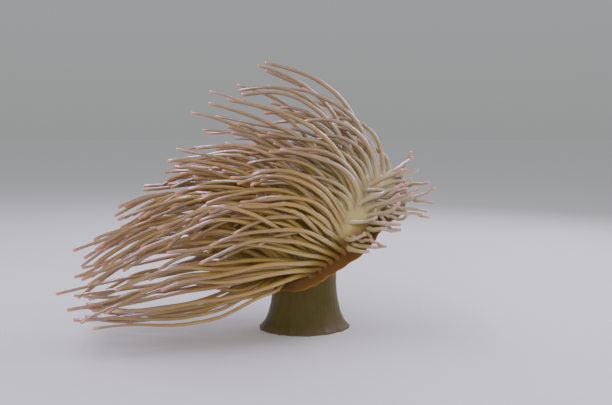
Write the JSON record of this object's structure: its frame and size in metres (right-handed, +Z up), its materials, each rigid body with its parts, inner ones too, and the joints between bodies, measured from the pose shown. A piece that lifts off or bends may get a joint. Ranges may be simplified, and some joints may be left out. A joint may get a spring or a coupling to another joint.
{
  "type": "magnificent sea anemone model",
  "caption": "Life-size still model of a magnificent sea anemone leaning in a current: flared foot, stout column, tilted disc and long streaming blunt tentacles.",
  "frame": {"origin": "middle of the flat underside of the pedal disc, which rests on the floor", "axes": "+Z up through the foot and column; the tentacles stream towards -X and the high side of the oral disc is towards +X; the disc faces a little towards -Y"},
  "size_m": [0.3643, 0.247, 0.2736],
  "materials": {
    "foot": "matt, moist skin of the foot",
    "column": "smooth, moist olive-khaki skin",
    "lips": "soft, moist pale skin",
    "inner_tentacles": "soft, moist, slightly translucent ochre skin with pinkish tips",
    "outer_tentacles": "soft, moist, slightly translucent ochre skin with pinkish tips"
  },
  "bodies": {
    "root": {"pedal_disc": "foot", "column": "column", "calyx": "column", "mouth": "lips", "inner_lobe_1": "inner_tentacles", "inner_lobe_2": "inner_tentacles", "inner_lobe_3": "inner_tentacles", "inner_lobe_4": "inner_tentacles", "inner_lobe_5": "inner_tentacles", "inner_lobe_6": "inner_tentacles", "outer_lobe_01": "outer_tentacles", "outer_lobe_02": "outer_tentacles", "outer_lobe_03": "outer_tentacles", "outer_lobe_04": "outer_tentacles", "outer_lobe_05": "outer_tentacles", "outer_lobe_06": "outer_tentacles", "outer_lobe_07": "outer_tentacles", "outer_lobe_08": "outer_tentacles", "outer_lobe_09": "outer_tentacles", "outer_lobe_10": "outer_tentacles", "outer_lobe_11": "outer_tentacles", "outer_lobe_12": "outer_tentacles"}
  },
  "joints": []
}
